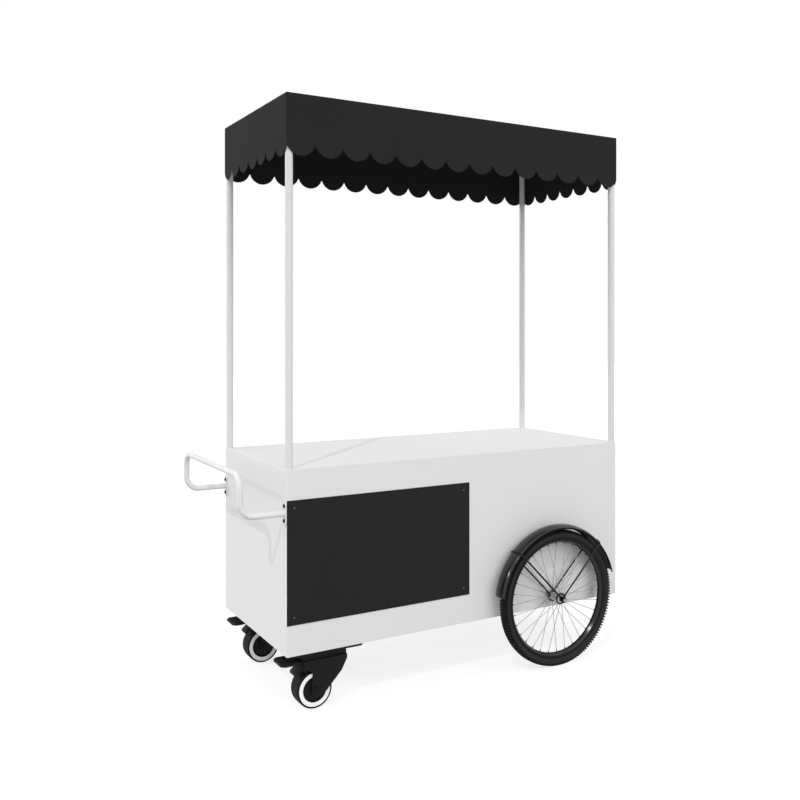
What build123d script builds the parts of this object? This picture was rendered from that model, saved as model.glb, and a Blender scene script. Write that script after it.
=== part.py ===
from build123d import *
from math import cos, radians, sin, sqrt
import os

# Mobile market stall: a folded steel storage body under a scalloped canopy, rolling on two spoked
# road wheels and two braked swivel casters. Millimetres, +Z up, the front (customer) face toward -Y.
# The model is drawn about the middle of the body and moved to its own origin as it is written.

# Storage body
BODY_LENGTH = 1400
BODY_DEPTH = 600
BODY_HEIGHT = 600
SHEET = 2
REAR_LIP = 25

# Base frame inside the foot of the body
RAIL_HEIGHT = 100
RAIL_WIDTH = 40
RAIL_WALL = 2
MIDDLE_RAIL_SETBACK = 230

# Floor and shelf
FLOOR_SHEET = 2
SHELF_SHEET = 2
SHELF_RISE = 250
SHELF_SETBACK = 40
SHELF_LIP = 25
ANGLE_LEG = 25
ANGLE_WALL = 2
SHEET_GAP = 0.5

# Sign panel on the front face
SIGN_LENGTH = 700
SIGN_HEIGHT = 400
SIGN_SHEET = 2
SIGN_SILL = 100
SIGN_SCREW_INSET = 25
SCREW_HEAD = 6
SCREW_HEAD_HEIGHT = 2

# Posts and the spigots welded to the counter that hold them
POST_DIAMETER = 25
POST_WALL = 1.5
SPIGOT_HEIGHT = 70
PLUG_SIDES = 8

# Canopy frame and cloth
STALL_HEIGHT = 2005
CANOPY_TUBE = 25
CANOPY_TUBE_WALL = 1.5
CANOPY_PLUG = 45
SKIRT_DEPTH = 200
SCALLOP_DEPTH = 35
FRONT_SCALLOPS = 14
END_SCALLOPS = 7
CLOTH = 2
CLOTH_GAP = 0.7

# Push handle on the left end
HANDLE_DIAMETER = 20
HANDLE_REACH = 152
HANDLE_LEG_RISE = 459
HANDLE_BAR_LIFT = 132
HANDLE_BEND = 46
HANDLE_LEG_INSET = 12
FLANGE_WIDTH = 24
FLANGE_SHEET = 4
FLANGE_BOLT_SPACING = 47
FLANGE_END = 15.5
HANDLE_BOLT_HEAD = 13
HANDLE_BOLT_HEAD_HEIGHT = 3.5

# Road wheels, turning on one axle through the base frame
TYRE_DIAMETER = 500
TYRE_WIDTH = 44
TYRE_HEIGHT = 29
TREAD_WIDTH = 34
TREAD_THICKNESS = 6
RIM_WIDTH = 28
RIM_WALL = 3
RIM_DEPTH = 18
RIM_CHANNEL = 9
RIM_FLANK = 9
RIM_RIDGE = 8
WHEEL_INSET = 344
SPOKES = 32
SPOKE_DIAMETER = 2
SPOKE_SIDES = 6
SPOKE_LIFT = 0.6
SPOKE_CIRCLE = 38
HUB_BARREL = 30
HUB_NOSE = 20
HUB_FLANGE = 44
HUB_FLANGE_WIDTH = 3
HUB_FLANGE_SPACING = 43
AXLE_DIAMETER = 12
AXLE_TAIL = 2.5
AXLE_NUT_WIDTH = 19
AXLE_NUT_HEIGHT = 8
SPACER_DIAMETER = 20
SPACER_LENGTH = 16.2

# Mudguards and their stays
MUDGUARD_RISE = 21
MUDGUARD_ROOM = 5
MUDGUARD_CROWN = 9
MUDGUARD_SIDE = 6
MUDGUARD_SHOULDER = 7
MUDGUARD_SHEET = 1.5
MUDGUARD_START = 15
MUDGUARD_END = 171.5
STAY_DIAMETER = 6
STAY_SIDES = 6
STAY_ANGLES = (45, 135)
STAY_BEND = 6
STAY_GAP = 0.8
STAY_STRAP_WIDTH = 20
STAY_STRAP_SHEET = 3
STAY_STRAP_LENGTH = 30

# Swivel casters
CASTER_INSET = 148
CASTER_SIDE_INSET = 67
CASTER_TRAIL = 33
CASTER_DIAMETER = 125
CASTER_TREAD_WIDTH = 58
CASTER_TREAD_THICKNESS = 5
CASTER_TREAD_CHAMFER = 3
CASTER_RIM_STEP = 1
CASTER_HUB_STEP = 1
CASTER_HUB_DIAMETER = 85
CASTER_AXLE = 10
CASTER_AXLE_HEAD = 17
CASTER_AXLE_HEAD_HEIGHT = 5
PLATE_SHEET = 8
PLATE_CORNER = 10
PLATE_BOLT_SPACING_X = 190
PLATE_BOLT_SPACING_Y = 76
PLATE_END = 36
PLATE_SIDE = 26
PLATE_BOLT_HEAD = 15
PLATE_BOLT_HEAD_HEIGHT = 5.5
RACE_DIAMETER = 56
RACE_HEIGHT = 6.6
KINGPIN_DIAMETER = 14
KINGPIN_HEAD = 24
KINGPIN_HEAD_HEIGHT = 5
FORK_SIDE_GAP = 3
FORK_WALL = 4
FORK_FRONT = 82
FORK_CROWN = 24.5
FORK_DECK = 3
FORK_LEDGE = 7
FORK_STEP = 14
FORK_LEG = 22
FORK_WAIST = 9
FORK_HEEL = 17
FORK_TOE = 25
FORK_ELBOW_REACH = 62
FORK_ELBOW_RISE = 50
FORK_BROW = 35
FORK_NOSE = 14
FORK_CORNER = 6
FORK_ROUND = 20
FORK_EAR_WIDTH = 18
FORK_EAR_PROUD = 2.5
FORK_EAR_LEAN = 3

# Brake pedal, rocking on a pin between the fork's cheeks
PEDAL_PIN = 8
PEDAL_PIN_BACK = 62
PEDAL_PIN_LIFT = 21.1
PEDAL_PIN_EDGE = 14
PEDAL_PIN_DROP = 9
PEDAL_HUB = 22
PEDAL_HEADROOM = 3.5
PEDAL_END_GAP = 1
PEDAL_ARM_GAP = 6
PEDAL_ARM_THICKNESS = 8
PEDAL_REACH = 93
PEDAL_LIFT = 20
PEDAL_PAD_LENGTH = 42
PEDAL_PAD_WIDTH = 85
PEDAL_PAD_THICKNESS = 7
PEDAL_PAD_CORNER = 12
PEDAL_RIBS = 6
PEDAL_RIB = 2.5
PEDAL_RIB_HEIGHT = 1.2
PEDAL_RIB_MARGIN = 6
TAB_GAP = 9.5
TAB_REACH = 39
TAB_DROP = 31
TAB_THICKNESS = 7
PEDAL_TRAVEL = 15
SHOE_GAP = 8
SHOE_THICKNESS = 8
SHOE_CLEARANCE = 0.5

# Clearances
RUNNING_GAP = 0.03
SLIP_GAP = 0.1
HOLE_GAP = 0.2
SEAT_GAP = 0.3

# Caster sizes and heights, worked out from the ground up
CASTER_RADIUS = CASTER_DIAMETER / 2
CASTER_RIM_WIDTH = CASTER_TREAD_WIDTH - 2 * CASTER_RIM_STEP
CASTER_HUB_WIDTH = CASTER_TREAD_WIDTH + 2 * CASTER_HUB_STEP
FORK_SLOT = CASTER_TREAD_WIDTH + 2 * FORK_SIDE_GAP
FORK_WIDTH = FORK_SLOT + 2 * FORK_WALL
FORK_BACK = PEDAL_PIN_BACK + PEDAL_PIN_EDGE
PEDAL_PIN_X = -PEDAL_PIN_BACK
PEDAL_PIN_Z = CASTER_DIAMETER + PEDAL_PIN_LIFT
FORK_SLOT_TOP = PEDAL_PIN_Z + PEDAL_HUB / 2 + PEDAL_HEADROOM
FORK_TOP = FORK_SLOT_TOP + FORK_CROWN
PLATE_BOTTOM = FORK_TOP + SEAT_GAP + RACE_HEIGHT
PLATE_LENGTH = PLATE_BOLT_SPACING_X + 2 * PLATE_END
PLATE_WIDTH = PLATE_BOLT_SPACING_Y + 2 * PLATE_SIDE

# Body, canopy and handle places
BODY_BOTTOM = PLATE_BOTTOM + PLATE_SHEET
BODY_TOP = BODY_BOTTOM + BODY_HEIGHT
FRONT_FACE = -BODY_DEPTH / 2
LEFT_FACE = -BODY_LENGTH / 2
FLOOR_TOP = BODY_BOTTOM + RAIL_HEIGHT + FLOOR_SHEET
SHELF_TOP = FLOOR_TOP + SHELF_RISE
POST_X = BODY_LENGTH / 2 - POST_DIAMETER / 2
POST_Y = BODY_DEPTH / 2 - POST_DIAMETER / 2
POST_BORE = POST_DIAMETER - 2 * POST_WALL
CANOPY_FRAME_TOP = STALL_HEIGHT - CLOTH - CLOTH_GAP
POST_TOP = CANOPY_FRAME_TOP - CANOPY_TUBE
CANOPY_OVERHANG = CLOTH + CLOTH_GAP
HANDLE_LEG_Z = BODY_BOTTOM + HANDLE_LEG_RISE
HANDLE_LEG_Y = BODY_DEPTH / 2 - HANDLE_LEG_INSET
HANDLE_OUTER = HANDLE_REACH + HANDLE_DIAMETER / 2
BODY_X = (HANDLE_OUTER - CANOPY_OVERHANG) / 2
CASTER_X = LEFT_FACE + CASTER_INSET
CASTER_Y = BODY_DEPTH / 2 - CASTER_SIDE_INSET

# Wheel, mudguard and axle places, counted outward along the axle
RIM_LIP = TYRE_DIAMETER / 2 - TYRE_HEIGHT
RIM_INNER = RIM_LIP - RIM_DEPTH
MUDGUARD_RADIUS = TYRE_DIAMETER / 2 + MUDGUARD_RISE
MUDGUARD_WIDTH = TYRE_WIDTH + 2 * (MUDGUARD_ROOM + MUDGUARD_SHEET)
CROWN_RADIUS = ((MUDGUARD_WIDTH / 2) ** 2 + MUDGUARD_CROWN**2) / (2 * MUDGUARD_CROWN)
STAY_SEAT = MUDGUARD_WIDTH / 2 + STAY_GAP + (STAY_DIAMETER - STAY_STRAP_SHEET) / 2
HUB_LENGTH = 2 * (STAY_SEAT - SEAT_GAP)
AXLE_NUT_SEAT = STAY_SEAT + len(STAY_ANGLES) * STAY_STRAP_SHEET
WHEEL_OFFSET = AXLE_NUT_SEAT + SPACER_LENGTH
WHEEL_X = BODY_LENGTH / 2 - WHEEL_INSET
WHEEL_Y = FRONT_FACE - WHEEL_OFFSET
AXLE_Z = TYRE_DIAMETER / 2
AXLE_END = AXLE_NUT_SEAT + AXLE_NUT_HEIGHT + AXLE_TAIL - WHEEL_Y

STANDING = (Align.CENTER, Align.CENTER, Align.MIN)
HANGING = (Align.CENTER, Align.CENTER, Align.MAX)


def save(name, shape):
    """Write one node, moved from the middle of the body to the stall's own origin."""
    export_step(Pos(BODY_X, 0, 0) * shape, f"parts/{name}.step")


def group(shapes):
    """Separate solids that share one node."""
    return Compound([shape.solid() for shape in shapes])


def front_and_rear(shape):
    """A shape on the front side and its mirror image on the rear side."""
    return [shape, mirror(shape, about=Plane.XZ)]


def four_corners(shape):
    """A shape at the front left corner, mirrored to all four corners of the body."""
    pair = front_and_rear(shape)
    return pair + [mirror(side, about=Plane.YZ) for side in pair]


def rod(diameter, start, end):
    """A round bar between two points."""
    axis = Vector(end) - Vector(start)
    return Plane(start, z_dir=axis) * Cylinder(diameter / 2, axis.length, align=STANDING)


def ring_y(outer, inner, start, end):
    """A ring round the Y axis, from one Y to another."""
    bore = rod(inner, (0, start, 0), (0, end, 0))
    return rod(outer, (0, start, 0), (0, end, 0)) - bore


def tube_x(length, width, height, wall):
    """A rectangular tube along X."""
    return Box(length, width, height) - Box(length, width - 2 * wall, height - 2 * wall)


def hex_nut(width, height, bore):
    """A hexagon nut on the XY plane, sized across its flats."""
    return extrude(RegularPolygon(width / 2, 6, major_radius=False) - Circle(bore / 2), height)


def prism(diameter, sides, start, end):
    """A bar of a few flat sides between two points."""
    axis = Vector(end) - Vector(start)
    return Plane(start, z_dir=axis) * extrude(RegularPolygon(diameter / 2, sides), axis.length)


def wheel_ring(right):
    """A ring round the Y axis, from the radius and Y of its corners on the +Y side."""
    left = [(radius, -across) for radius, across in reversed(right)]
    return revolve(make_face(Polyline(*right, *left, close=True).edges()), Axis.Y)


def side_plate(outline, width):
    """Extrude a closed outline, drawn in X and Z, evenly to both sides of Y = 0."""
    return extrude(Plane.XZ * make_face(outline.edges()), amount=width / 2, both=True)


def open_box(length, depth, bottom, height, wall):
    """A folded box without a bottom, its upright and top edges rounded as a fold is."""
    block = Pos(0, 0, bottom) * Box(length, depth, height, align=STANDING)
    edges = block.edges().filter_by(Axis.Z) + block.faces().sort_by(Axis.Z)[-1].edges()
    hollow = Box(length - 2 * wall, depth - 2 * wall, height - wall, align=STANDING)
    return fillet(edges, wall) - Pos(0, 0, bottom) * hollow


# Where fasteners sit and the axle passes
def sign_screw_planes():
    face_y = FRONT_FACE - SIGN_SHEET
    left, right = LEFT_FACE + SIGN_SCREW_INSET, LEFT_FACE + SIGN_LENGTH - SIGN_SCREW_INSET
    low = BODY_BOTTOM + SIGN_SILL + SIGN_SCREW_INSET
    high = BODY_BOTTOM + SIGN_SILL + SIGN_HEIGHT - SIGN_SCREW_INSET
    places = [(x, face_y, z) for x in (left, right) for z in (low, high)]
    return [Plane(place, x_dir=(1, 0, 0), z_dir=(0, -1, 0)) for place in places]


def handle_bolt_planes():
    face_x = LEFT_FACE - FLANGE_SHEET
    rises = (-FLANGE_BOLT_SPACING / 2, FLANGE_BOLT_SPACING / 2)
    places = [(face_x, y, HANDLE_LEG_Z + rise) for y in (-HANDLE_LEG_Y, HANDLE_LEG_Y) for rise in rises]
    return [Plane(place, x_dir=(0, 1, 0), z_dir=(-1, 0, 0)) for place in places]


def plate_bolt_places():
    xs = [CASTER_X + side * PLATE_BOLT_SPACING_X / 2 for side in (-1, 1)]
    ys = [CASTER_Y + side * PLATE_BOLT_SPACING_Y / 2 for side in (-1, 1)]
    return [(x, sign * y) for x in xs for sign in (-1, 1) for y in ys]


def axle_hole():
    return rod(AXLE_DIAMETER + 2 * HOLE_GAP, (WHEEL_X, -BODY_DEPTH, AXLE_Z), (WHEEL_X, BODY_DEPTH, AXLE_Z))


# Storage body: front, ends and counter are one folded casing, open at the foot and at the back
def body_casing():
    casing = open_box(BODY_LENGTH, BODY_DEPTH, BODY_BOTTOM, BODY_HEIGHT, SHEET)
    doorway = Box(BODY_LENGTH - 2 * REAR_LIP, 4 * SHEET, BODY_TOP - REAR_LIP - FLOOR_TOP, align=STANDING)
    return casing - Pos(0, BODY_DEPTH / 2, FLOOR_TOP) * doorway - axle_hole()


def long_rails():
    rail = tube_x(BODY_LENGTH - 2 * SHEET, RAIL_WIDTH, RAIL_HEIGHT, RAIL_WALL)
    y = FRONT_FACE + SHEET + RAIL_WIDTH / 2
    rail = Pos(0, y, BODY_BOTTOM + RAIL_HEIGHT / 2) * rail - axle_hole()
    return group(front_and_rear(rail))


def cross_rails():
    length = BODY_DEPTH - 2 * SHEET - 2 * RAIL_WIDTH
    rail = Rot(0, 0, 90) * tube_x(length, RAIL_WIDTH, RAIL_HEIGHT, RAIL_WALL)
    end_x = BODY_LENGTH / 2 - SHEET - RAIL_WIDTH / 2
    over_casters = [CASTER_X + side * PLATE_BOLT_SPACING_X / 2 for side in (-1, 1)]
    xs = over_casters + [WHEEL_X - MIDDLE_RAIL_SETBACK, end_x]
    return group([Pos(x, 0, BODY_BOTTOM + RAIL_HEIGHT / 2) * rail for x in xs])


def floor_panel():
    size = (BODY_LENGTH - 2 * SHEET - 2 * SHEET_GAP, BODY_DEPTH - 2 * SHEET - 2 * SHEET_GAP)
    return Pos(0, 0, BODY_BOTTOM + RAIL_HEIGHT) * Box(*size, FLOOR_SHEET, align=STANDING)


def inner_shelf():
    length = BODY_LENGTH - 2 * SHEET - 2 * SHEET_GAP
    front = FRONT_FACE + SHEET + SHEET_GAP
    rear = BODY_DEPTH / 2 - SHEET - SHELF_SETBACK
    outline = Polyline(
        (front, SHELF_TOP), (rear, SHELF_TOP), (rear, SHELF_TOP - SHELF_LIP),
        (rear - SHELF_SHEET, SHELF_TOP - SHELF_LIP), (rear - SHELF_SHEET, SHELF_TOP - SHELF_SHEET),
        (front, SHELF_TOP - SHELF_SHEET), close=True)
    return extrude(Plane.YZ * make_face(outline.edges()), amount=length / 2, both=True)


def angle_bar(length):
    """An angle along X: its upright leg on the plane Y = 0, its flat leg on top, toward +Y."""
    outline = Polyline(
        (0, 0), (ANGLE_LEG, 0), (ANGLE_LEG, -ANGLE_WALL), (ANGLE_WALL, -ANGLE_WALL),
        (ANGLE_WALL, -ANGLE_LEG), (0, -ANGLE_LEG), close=True)
    return extrude(Plane.YZ * make_face(outline.edges()), amount=length / 2, both=True)


def shelf_angles():
    z = SHELF_TOP - SHELF_SHEET
    inner_x = BODY_LENGTH / 2 - SHEET
    inner_y = FRONT_FACE + SHEET
    shelf_rear = BODY_DEPTH / 2 - SHEET - SHELF_SETBACK - SHELF_SHEET
    end_start = inner_y + ANGLE_LEG
    end_length = shelf_rear - ANGLE_LEG - end_start
    end_bar = Pos(inner_x, end_start + end_length / 2, z) * Rot(0, 0, 90) * angle_bar(end_length)
    front_bar = Pos(0, inner_y, z) * angle_bar(2 * (inner_x - ANGLE_LEG))
    return group([end_bar, mirror(end_bar, about=Plane.YZ), front_bar])


def sign_panel():
    centre_z = BODY_BOTTOM + SIGN_SILL + SIGN_HEIGHT / 2
    panel = Box(SIGN_LENGTH, SIGN_SHEET, SIGN_HEIGHT)
    return Pos(LEFT_FACE + SIGN_LENGTH / 2, FRONT_FACE - SIGN_SHEET / 2, centre_z) * panel


def sign_screws():
    """Screw heads seated on the panel."""
    head = extrude(RegularPolygon(SCREW_HEAD / 2, PLUG_SIDES), SCREW_HEAD_HEIGHT)
    return group([plane * head for plane in sign_screw_planes()])


# Posts and canopy frame
def post():
    tube = Circle(POST_DIAMETER / 2) - Circle(POST_BORE / 2)
    return Pos(-POST_X, -POST_Y, BODY_TOP) * extrude(tube, POST_TOP - BODY_TOP)


def post_spigots():
    plug = extrude(RegularPolygon(POST_BORE / 2 - SLIP_GAP, PLUG_SIDES), SPIGOT_HEIGHT)
    return group(four_corners(Pos(-POST_X, -POST_Y, BODY_TOP) * plug))


def canopy_rails(span, other_span):
    """The pair of rails along X, a span long and the other span apart, between the corner fittings."""
    rail = tube_x(span - 2 * CANOPY_TUBE, CANOPY_TUBE, CANOPY_TUBE, CANOPY_TUBE_WALL)
    place = Pos(0, -(other_span - CANOPY_TUBE) / 2, CANOPY_FRAME_TOP - CANOPY_TUBE / 2)
    return group(front_and_rear(place * rail))


def canopy_corners():
    middle = CANOPY_FRAME_TOP - CANOPY_TUBE / 2
    across = CANOPY_TUBE - 2 * CANOPY_TUBE_WALL - 2 * SLIP_GAP
    inset = CANOPY_TUBE / 2
    corner = Box(CANOPY_TUBE, CANOPY_TUBE, CANOPY_TUBE)
    corner += Pos(inset, 0, 0) * Box(CANOPY_PLUG, across, across, align=(Align.MIN, Align.CENTER, Align.CENTER))
    corner += Pos(0, inset, 0) * Box(across, CANOPY_PLUG, across, align=(Align.CENTER, Align.MIN, Align.CENTER))
    corner = Pos(LEFT_FACE + inset, FRONT_FACE + inset, middle) * corner
    plug = extrude(RegularPolygon(POST_BORE / 2 - SLIP_GAP, PLUG_SIDES), -CANOPY_PLUG)
    corner += Pos(-POST_X, -POST_Y, POST_TOP) * plug
    return group(four_corners(corner))


def scallop_cut(span, count, wall_y):
    """What a skirt along X loses below its scallops: the space under a row of arcs."""
    bottom = STALL_HEIGHT - SKIRT_DEPTH
    notch = bottom + SCALLOP_DEPTH
    pitch = span / count
    starts = [-span / 2 + index * pitch for index in range(count)]
    arcs = [ThreePointArc((x, notch), (x + pitch / 2, bottom), (x + pitch, notch)) for x in starts]
    floor = bottom - SCALLOP_DEPTH
    closing = Polyline((span / 2, notch), (span / 2, floor), (-span / 2, floor), (-span / 2, notch))
    face = make_face([edge for arc in arcs for edge in arc.edges()] + list(closing.edges()))
    return Pos(0, wall_y, 0) * extrude(Plane.XZ * face, amount=CLOTH, both=True)


def canopy_cover():
    length = BODY_LENGTH + 2 * CANOPY_OVERHANG
    depth = BODY_DEPTH + 2 * CANOPY_OVERHANG
    cover = open_box(length, depth, STALL_HEIGHT - SKIRT_DEPTH, SKIRT_DEPTH, CLOTH)
    front_cut = scallop_cut(length, FRONT_SCALLOPS, -depth / 2)
    end_cut = Rot(0, 0, 90) * scallop_cut(depth, END_SCALLOPS, length / 2)
    cover -= front_and_rear(front_cut)
    return cover - [end_cut, mirror(end_cut, about=Plane.YZ)]


# Push handle: one tube bent out, up and across
def push_handle():
    start_x = LEFT_FACE - FLANGE_SHEET
    riser_x = LEFT_FACE - HANDLE_REACH
    bar_z = HANDLE_LEG_Z + HANDLE_BAR_LIFT
    path = FilletPolyline(
        (start_x, -HANDLE_LEG_Y, HANDLE_LEG_Z), (riser_x, -HANDLE_LEG_Y, HANDLE_LEG_Z),
        (riser_x, -HANDLE_LEG_Y, bar_z), (riser_x, HANDLE_LEG_Y, bar_z),
        (riser_x, HANDLE_LEG_Y, HANDLE_LEG_Z), (start_x, HANDLE_LEG_Y, HANDLE_LEG_Z), radius=HANDLE_BEND)
    return sweep(Plane(path @ 0, z_dir=path % 0) * Circle(HANDLE_DIAMETER / 2), path=path)


def handle_flanges():
    outline = SlotOverall(FLANGE_BOLT_SPACING + 2 * FLANGE_END, FLANGE_WIDTH)
    plate = extrude(Plane.YZ * Rot(0, 0, 90) * outline, -FLANGE_SHEET)
    return group(front_and_rear(Pos(LEFT_FACE, -HANDLE_LEG_Y, HANDLE_LEG_Z) * plate))


def handle_bolts():
    """Bolt heads seated on the flanges."""
    head = extrude(RegularPolygon(HANDLE_BOLT_HEAD / 2, 6), HANDLE_BOLT_HEAD_HEIGHT)
    return group([plane * head for plane in handle_bolt_planes()])


# Road wheels, drawn about the axle with Y across the wheel
def tyre():
    """A tyre whose beads fill the rim's channel, with bulging sidewalls and a crowned tread."""
    crown, half, tread_half = TYRE_DIAMETER / 2, TYRE_WIDTH / 2, TREAD_WIDTH / 2
    bead, lip = RIM_LIP - RIM_CHANNEL + SEAT_GAP, RIM_LIP + SEAT_GAP
    bead_half = RIM_WIDTH / 2 - RIM_WALL - SEAT_GAP
    return wheel_ring([
        (bead, bead_half), (lip, bead_half), (lip + TREAD_THICKNESS, half), (crown - TREAD_THICKNESS, half),
        (crown, tread_half)])


def rim():
    """A channel for the tyre whose straight flanks fold in to the ridge that takes the spokes."""
    half, floor = RIM_WIDTH / 2, RIM_LIP - RIM_CHANNEL
    throat = half - RIM_WALL
    return wheel_ring([
        (floor, throat), (RIM_LIP, throat), (RIM_LIP, half), (RIM_LIP - RIM_FLANK, half),
        (RIM_INNER, RIM_RIDGE / 2)])


def spoke(number):
    """One straight spoke to the rim's ridge, from the outer face of alternate hub flanges."""
    side = -1 if number % 2 else 1
    angle = radians(number * 360 / SPOKES)
    out = Vector(cos(angle), 0, sin(angle))
    seat = HUB_FLANGE_SPACING / 2 + HUB_FLANGE_WIDTH / 2 + SPOKE_LIFT + SPOKE_DIAMETER / 2
    start = out * (SPOKE_CIRCLE / 2) + Vector(0, side * seat, 0)
    return prism(SPOKE_DIAMETER, SPOKE_SIDES, start, out * (RIM_INNER - SEAT_GAP))


def spokes():
    return group([spoke(number) for number in range(SPOKES)])


def hub():
    half, barrel, nose = HUB_LENGTH / 2, HUB_BARREL / 2, HUB_NOSE / 2
    flange, bore = HUB_FLANGE / 2, AXLE_DIAMETER / 2 + RUNNING_GAP
    near = HUB_FLANGE_SPACING / 2 - HUB_FLANGE_WIDTH / 2
    far = near + HUB_FLANGE_WIDTH
    return wheel_ring([(bore, half), (nose, half), (nose, far), (flange, far), (flange, near), (barrel, near)])


def wheel_place(shape):
    return Pos(WHEEL_X, WHEEL_Y, AXLE_Z) * shape


# Axle and what is threaded on it
def wheel_axle():
    return rod(AXLE_DIAMETER, (WHEEL_X, -AXLE_END, AXLE_Z), (WHEEL_X, AXLE_END, AXLE_Z))


def axle_spacers():
    spacer = ring_y(SPACER_DIAMETER, AXLE_DIAMETER + 2 * SLIP_GAP, AXLE_NUT_SEAT, WHEEL_OFFSET)
    return group(front_and_rear(wheel_place(spacer)))


def axle_nuts():
    """A nut outside each wheel's stays and a lock nut behind each long rail."""
    nut = Rot(90, 0, 0) * hex_nut(AXLE_NUT_WIDTH, AXLE_NUT_HEIGHT, AXLE_DIAMETER + 2 * SLIP_GAP)
    outer = wheel_place(Pos(0, -AXLE_NUT_SEAT, 0) * nut)
    lock = Pos(WHEEL_X, FRONT_FACE + SHEET + RAIL_WIDTH + AXLE_NUT_HEIGHT, AXLE_Z) * nut
    return group(front_and_rear(outer) + front_and_rear(lock))


# Mudguard: an arched channel, swung round the axle, under stays that are bent to the same arch
def arch(foot, half, top, crown_radius, bend):
    """An arch in X (away from the axle) and Y: two straight sides, rounded shoulders and a crown."""
    centre = top - crown_radius
    bend_y = half - bend
    bend_x = centre + sqrt((crown_radius - bend) ** 2 - bend_y**2)
    lean = Vector(bend_x - centre, bend_y).normalized()
    touch = Vector(centre, 0) + lean * crown_radius
    knee = Vector(bend_x, bend_y) + (lean + Vector(0, 1)).normalized() * bend
    return [
        Line((foot, -half), (bend_x, -half)).edge(),
        ThreePointArc((bend_x, -half), (knee.X, -knee.Y), (touch.X, -touch.Y)).edge(),
        ThreePointArc((touch.X, -touch.Y), (top, 0), (touch.X, touch.Y)).edge(),
        ThreePointArc((touch.X, touch.Y), (knee.X, knee.Y), (bend_x, half)).edge(),
        Line((bend_x, half), (foot, half)).edge(),
    ]


def mudguard():
    half, skin = MUDGUARD_WIDTH / 2, MUDGUARD_SHEET
    foot = MUDGUARD_RADIUS - MUDGUARD_CROWN - MUDGUARD_SIDE
    outer = arch(foot, half, MUDGUARD_RADIUS, CROWN_RADIUS, MUDGUARD_SHOULDER)
    inner = arch(foot, half - skin, MUDGUARD_RADIUS - skin, CROWN_RADIUS - skin, MUDGUARD_SHOULDER - skin)
    feet = [Line((foot, side * half), (foot, side * (half - skin))).edge() for side in (-1, 1)]
    section = make_face(outer + inner + feet)
    return Rot(0, -MUDGUARD_END, 0) * revolve(section, Axis.Y, MUDGUARD_END - MUDGUARD_START)


def stay(position, angle):
    """One U-shaped stay: two legs from the axle, bent over the mudguard's crown."""
    leg_y = STAY_SEAT + (position + 0.5) * STAY_STRAP_SHEET
    lift = SEAT_GAP + STAY_DIAMETER / 2
    strap_back = -STAY_STRAP_WIDTH / 2
    leg_start = STAY_STRAP_WIDTH / 2 + STAY_DIAMETER
    path = Wire(arch(leg_start, leg_y, MUDGUARD_RADIUS + lift, CROWN_RADIUS + lift, STAY_BEND))
    section = RegularPolygon(STAY_DIAMETER / 2, STAY_SIDES)
    body = sweep(Plane(path @ 0, z_dir=path % 0) * section, path=path)
    strap = Box(
        STAY_STRAP_LENGTH, STAY_STRAP_SHEET, STAY_STRAP_WIDTH, align=(Align.MIN, Align.CENTER, Align.CENTER))
    body += [Pos(strap_back, y, 0) * strap for y in (-leg_y, leg_y)]
    body -= rod(AXLE_DIAMETER + 2 * HOLE_GAP, (0, -2 * leg_y, 0), (0, 2 * leg_y, 0))
    return Rot(0, -angle, 0) * body


def mudguard_stays():
    return group([stay(position, angle) for position, angle in enumerate(STAY_ANGLES)])


# Casters, drawn about the swivel axis with Z = 0 on the ground and the wheel trailing toward -X
def caster_place(shape):
    return Pos(CASTER_X, -CASTER_Y, 0) * shape


def caster_plates():
    plate = Box(PLATE_LENGTH, PLATE_WIDTH, PLATE_SHEET, align=HANGING)
    plate = chamfer(plate.edges().filter_by(Axis.Z), PLATE_CORNER)
    plate -= Cylinder(KINGPIN_DIAMETER / 2 + SLIP_GAP, 4 * PLATE_SHEET)
    return group(front_and_rear(caster_place(Pos(0, 0, BODY_BOTTOM) * plate)))


def caster_plate_bolts():
    """Bolt heads seated under the plates."""
    head = extrude(RegularPolygon(PLATE_BOLT_HEAD / 2, 6), -PLATE_BOLT_HEAD_HEIGHT)
    return group([Pos(x, y, PLATE_BOTTOM) * head for x, y in plate_bolt_places()])


def caster_races():
    ring = Circle(RACE_DIAMETER / 2) - Circle(KINGPIN_DIAMETER / 2 + SLIP_GAP)
    race = Pos(0, 0, PLATE_BOTTOM) * extrude(ring, -RACE_HEIGHT)
    return group(front_and_rear(caster_place(race)))


def caster_kingpins():
    foot = FORK_SLOT_TOP - SEAT_GAP - KINGPIN_HEAD_HEIGHT
    pin = Pos(0, 0, foot) * Cylinder(KINGPIN_HEAD / 2, KINGPIN_HEAD_HEIGHT, align=STANDING)
    pin += Pos(0, 0, foot) * Cylinder(KINGPIN_DIAMETER / 2, BODY_BOTTOM - foot, align=STANDING)
    return group(front_and_rear(caster_place(pin)))


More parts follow.
